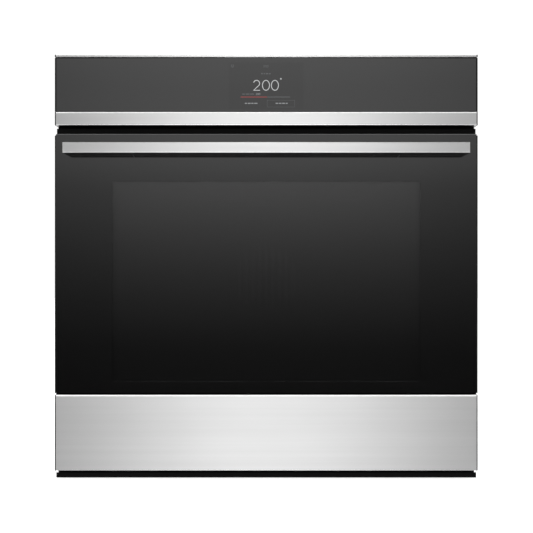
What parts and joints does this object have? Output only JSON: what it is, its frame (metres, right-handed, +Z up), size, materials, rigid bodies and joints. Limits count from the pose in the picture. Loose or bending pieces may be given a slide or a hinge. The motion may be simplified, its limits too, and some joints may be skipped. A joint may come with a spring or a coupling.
{
  "type": "built-in single wall oven",
  "caption": "Built-in single electric wall oven with a black glass and stainless steel front, touch control panel, drop-down glass door and bar handle.",
  "frame": {"origin": "centre of the whole oven's base, in the plane the skids and the bottom trim stand on", "axes": "+Z up, -Y out of the front (the side with the door and handle), +X to the viewer's right"},
  "size_m": [0.596, 0.611, 0.598],
  "materials": {
    "aluminium_sheet": "mill finish",
    "black_enamel": "satin black enamel",
    "black_glass": "polished, printed black from behind",
    "black_plastic": "matt black moulding",
    "braided_seal": "dark woven glass-fibre braid",
    "cavity_enamel": "glossy dark grey vitreous enamel",
    "chromed_wire": "bright chromed wire",
    "circuit_board": "green circuit board",
    "clear_glass": "clear heat-resisting pane",
    "galvanised_sheet": "dull zinc-coated sheet",
    "heater_sheath": "matt dark heater sheath",
    "mineral_wool": "yellowish glass wool",
    "stainless_steel": "fine horizontal brushing, satin"
  },
  "bodies": {
    "chassis": {"front_frame": "black_enamel", "vent_trim": "black_enamel", "bottom_trim": "black_enamel", "control_panel_housing": "stainless_steel", "control_glass": "black_glass", "display_module": "black_plastic", "side_panel_right": "galvanised_sheet", "side_panel_left": "galvanised_sheet", "top_cover": "galvanised_sheet", "base_panel": "galvanised_sheet", "rear_panel": "galvanised_sheet", "rear_motor_cover": "galvanised_sheet", "terminal_block": "black_plastic", "deck_panel": "galvanised_sheet", "cavity_wrapper": "cavity_enamel", "cavity_back": "cavity_enamel", "insulation_blanket": "mineral_wool", "door_gasket": "braided_seal", "fan_cover": "cavity_enamel", "ring_element": "heater_sheath", "fan_motor": "galvanised_sheet", "grill_element": "heater_sheath", "bake_element": "heater_sheath", "lamp_lens_right": "clear_glass", "lamp_lens_left": "clear_glass", "temperature_probe": "chromed_wire", "side_rack_right": "chromed_wire", "side_rack_left": "chromed_wire", "runner_outer_right": "chromed_wire", "runner_outer_left": "chromed_wire", "blower_housing": "galvanised_sheet", "blower_motor": "galvanised_sheet", "air_duct": "galvanised_sheet", "power_board": "circuit_board", "lock_housing": "galvanised_sheet", "door_switch": "black_plastic", "hinge_arm_right": "galvanised_sheet", "hinge_arm_left": "galvanised_sheet", "hinge_receiver_right": "galvanised_sheet", "hinge_receiver_left": "galvanised_sheet"},
    "door": {"door_outer_glass": "black_glass", "door_lower_panel": "stainless_steel", "door_side_rail_right": "black_enamel", "door_side_rail_left": "black_enamel", "door_bottom_rail": "black_enamel", "door_top_rail": "black_enamel", "door_middle_glass": "clear_glass", "door_inner_glass": "clear_glass", "handle_bar": "stainless_steel", "handle_post_right": "stainless_steel", "handle_post_left": "stainless_steel"},
    "shelf": {"wire_shelf": "chromed_wire", "runner_inner_right": "chromed_wire", "runner_inner_left": "chromed_wire"},
    "runner_right": {"runner_middle_right": "chromed_wire"},
    "runner_left": {"runner_middle_left": "chromed_wire"},
    "convection_fan": {"convection_fan": "aluminium_sheet"},
    "blower_wheel": {"blower_wheel": "aluminium_sheet"},
    "lock_hook": {"lock_hook": "galvanised_sheet"},
    "switch_plunger": {"switch_plunger": "black_plastic"}
  },
  "joints": [
    {"name": "door_hinge", "type": "hinge", "parent": "chassis", "child": "door", "pos_m": [0, -0.2505, 0.019], "axis": [1, 0, 0], "range_deg": [0, 90], "stiffness_Nm_per_rad": 12, "springref_deg": -11.46},
    {"name": "shelf_slide", "type": "slide", "parent": "chassis", "child": "shelf", "axis": [0, -1, 0], "range_m": [0, 0.3142]},
    {"name": "runner_right_slide", "type": "slide", "parent": "chassis", "child": "runner_right", "axis": [0, -1, 0], "range_m": [0, 0.1571]},
    {"name": "runner_left_slide", "type": "slide", "parent": "chassis", "child": "runner_left", "axis": [0, -1, 0], "range_m": [0, 0.1571]},
    {"name": "switch_slide", "type": "slide", "parent": "chassis", "child": "switch_plunger", "axis": [0, -1, 0], "range_m": [0, 0.004]},
    {"name": "lock_turn", "type": "hinge", "parent": "chassis", "child": "lock_hook", "pos_m": [0, -0.1975, 0.4775], "axis": [0, 0, 1], "range_deg": [0, 15]},
    {"name": "convection_fan_spin", "type": "hinge", "parent": "chassis", "child": "convection_fan", "pos_m": [0, 0.18, 0.2725], "axis": [0, 1, 0], "continuous": true},
    {"name": "blower_spin", "type": "hinge", "parent": "chassis", "child": "blower_wheel", "pos_m": [0, 0.2, 0.53], "axis": [1, 0, 0], "continuous": true}
  ],
  "couplings": [
    {"joint": "shelf_slide", "follows": "door_hinge", "m_per_rad": 0.2},
    {"joint": "runner_right_slide", "follows": "door_hinge", "m_per_rad": 0.1},
    {"joint": "runner_left_slide", "follows": "door_hinge", "m_per_rad": 0.1},
    {"joint": "switch_slide", "follows": "door_hinge", "m_per_rad": 0.002546}
  ]
}
